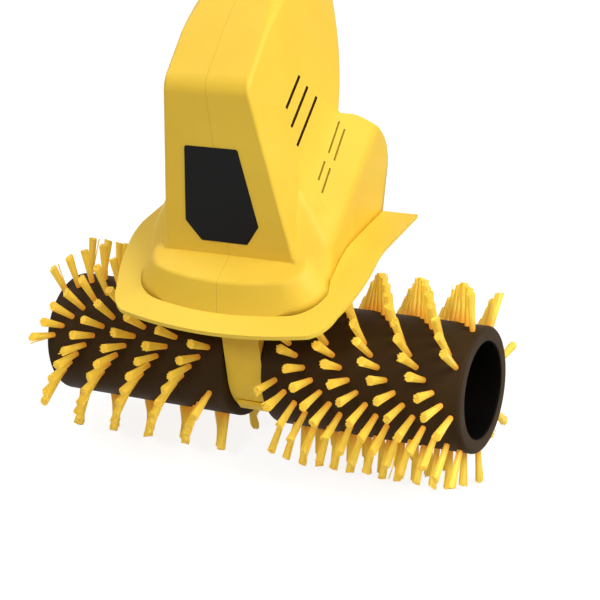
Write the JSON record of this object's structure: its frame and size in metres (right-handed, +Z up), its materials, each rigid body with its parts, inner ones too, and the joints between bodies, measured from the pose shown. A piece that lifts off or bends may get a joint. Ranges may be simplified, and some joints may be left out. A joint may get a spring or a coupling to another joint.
{
  "type": "artificial turf brush head",
  "caption": "Powered brush head for artificial turf: two helically tufted rollers on a geared leg under a hooded housing with a handle socket.",
  "frame": {"origin": "middle of the mouth of the handle socket, where the handle tube goes in", "axes": "+X along the rollers, to the right in the picture, +Y to the back, where the handle goes, +Z up"},
  "size_m": [0.35, 0.2201, 0.3995],
  "materials": {
    "housing_yellow": "satin moulded",
    "guard_yellow": "satin moulded",
    "leg_yellow": "satin moulded",
    "label_black": "smooth sheet",
    "dark_plastic": "moulded",
    "roller_black": "moulded",
    "bristle_yellow": "nylon filament",
    "screw_steel": "plated",
    "shaft_steel": "ground",
    "gear_steel": "machined",
    "bronze": "sintered",
    "seal_rubber": "moulded",
    "rotor_iron": "laminated"
  },
  "bodies": {
    "head": {"housing_left": "housing_yellow", "housing_right": "housing_yellow", "brush_guard": "guard_yellow", "gearcase_left": "leg_yellow", "gearcase_right": "leg_yellow", "leg_clip": "leg_yellow", "label_plate": "label_black", "handle_socket": "dark_plastic", "neck_collar": "dark_plastic", "motor_end_cap": "dark_plastic", "collar_screws": "screw_steel", "housing_screws": "screw_steel", "guard_screws": "screw_steel", "gearcase_screws": "screw_steel", "motor_screws": "screw_steel", "idler_pin": "shaft_steel", "axle_bearing_left": "shaft_steel", "axle_bearing_right": "shaft_steel", "motor_can": "shaft_steel", "countershaft_bush_left": "bronze", "countershaft_bush_right": "bronze", "motor_bush_front": "bronze", "motor_bush_rear": "bronze", "motor_terminals": "bronze", "axle_seal_left": "seal_rubber", "axle_seal_right": "seal_rubber", "motor_magnets": "rotor_iron", "motor_brushes": "rotor_iron"},
    "brush": {"axle": "shaft_steel", "axle_gear": "gear_steel", "drive_hub_left": "dark_plastic", "drive_hub_right": "dark_plastic", "roller_core_left": "roller_black", "roller_core_right": "roller_black", "drive_pins": "screw_steel", "end_washers": "screw_steel", "end_screws": "screw_steel", "bristles_left_1": "bristle_yellow", "bristles_left_2": "bristle_yellow", "bristles_left_3": "bristle_yellow", "bristles_left_4": "bristle_yellow", "bristles_right_1": "bristle_yellow", "bristles_right_2": "bristle_yellow", "bristles_right_3": "bristle_yellow", "bristles_right_4": "bristle_yellow"},
    "idler": {"idler_gear": "gear_steel", "idler_bush": "bronze"},
    "countershaft": {"countershaft": "shaft_steel", "reduction_gear": "gear_steel", "reduction_pinion": "gear_steel"},
    "rotor": {"rotor_shaft": "shaft_steel", "rotor_core": "rotor_iron", "commutator": "bronze", "rotor_pinion": "gear_steel", "cooling_fan": "dark_plastic"}
  },
  "joints": [
    {"name": "brush_spin", "type": "hinge", "parent": "head", "child": "brush", "pos_m": [0, -0.12539, -0.30171], "axis": [1, 0, 0], "continuous": true},
    {"name": "idler_spin", "type": "hinge", "parent": "head", "child": "idler", "pos_m": [0, -0.12209, -0.23879], "axis": [1, 0, 0], "continuous": true},
    {"name": "countershaft_spin", "type": "hinge", "parent": "head", "child": "countershaft", "pos_m": [0, -0.10498, -0.20209], "axis": [1, 0, 0], "continuous": true},
    {"name": "rotor_spin", "type": "hinge", "parent": "head", "child": "rotor", "pos_m": [0, -0.07727, -0.17757], "axis": [1, 0, 0], "continuous": true}
  ],
  "couplings": [
    {"joint": "idler_spin", "follows": "brush_spin", "ratio": -1.1},
    {"joint": "countershaft_spin", "follows": "brush_spin", "ratio": 3.1429},
    {"joint": "rotor_spin", "follows": "brush_spin", "ratio": -13.469}
  ]
}
